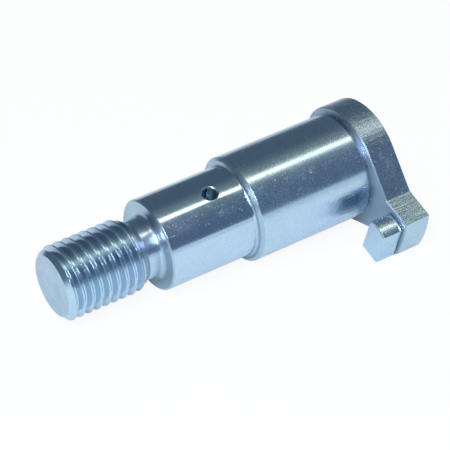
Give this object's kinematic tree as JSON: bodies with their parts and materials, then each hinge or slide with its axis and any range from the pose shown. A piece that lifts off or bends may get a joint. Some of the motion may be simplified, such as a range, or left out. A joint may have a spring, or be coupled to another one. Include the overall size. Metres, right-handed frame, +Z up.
{
  "type": "threaded pivot pin",
  "caption": "Stepped steel pivot pin lying on its side, threaded at one end, with a keyed cam-shaped head at the other.",
  "frame": {"origin": "middle of the bottom of the pin's box, on the surface that it lies on", "axes": "+X along the pin as seen from above, from the thread to the head; the pin's axis rises 2.7 degrees towards the head; +Z up; the head's arm leans down towards -Y"},
  "size_m": [0.1184, 0.0542, 0.0394],
  "materials": {
    "steel": "ground journals, turned thread and milled head, bright and unplated"
  },
  "bodies": {
    "root": {"pivot_pin": "steel"}
  },
  "joints": []
}
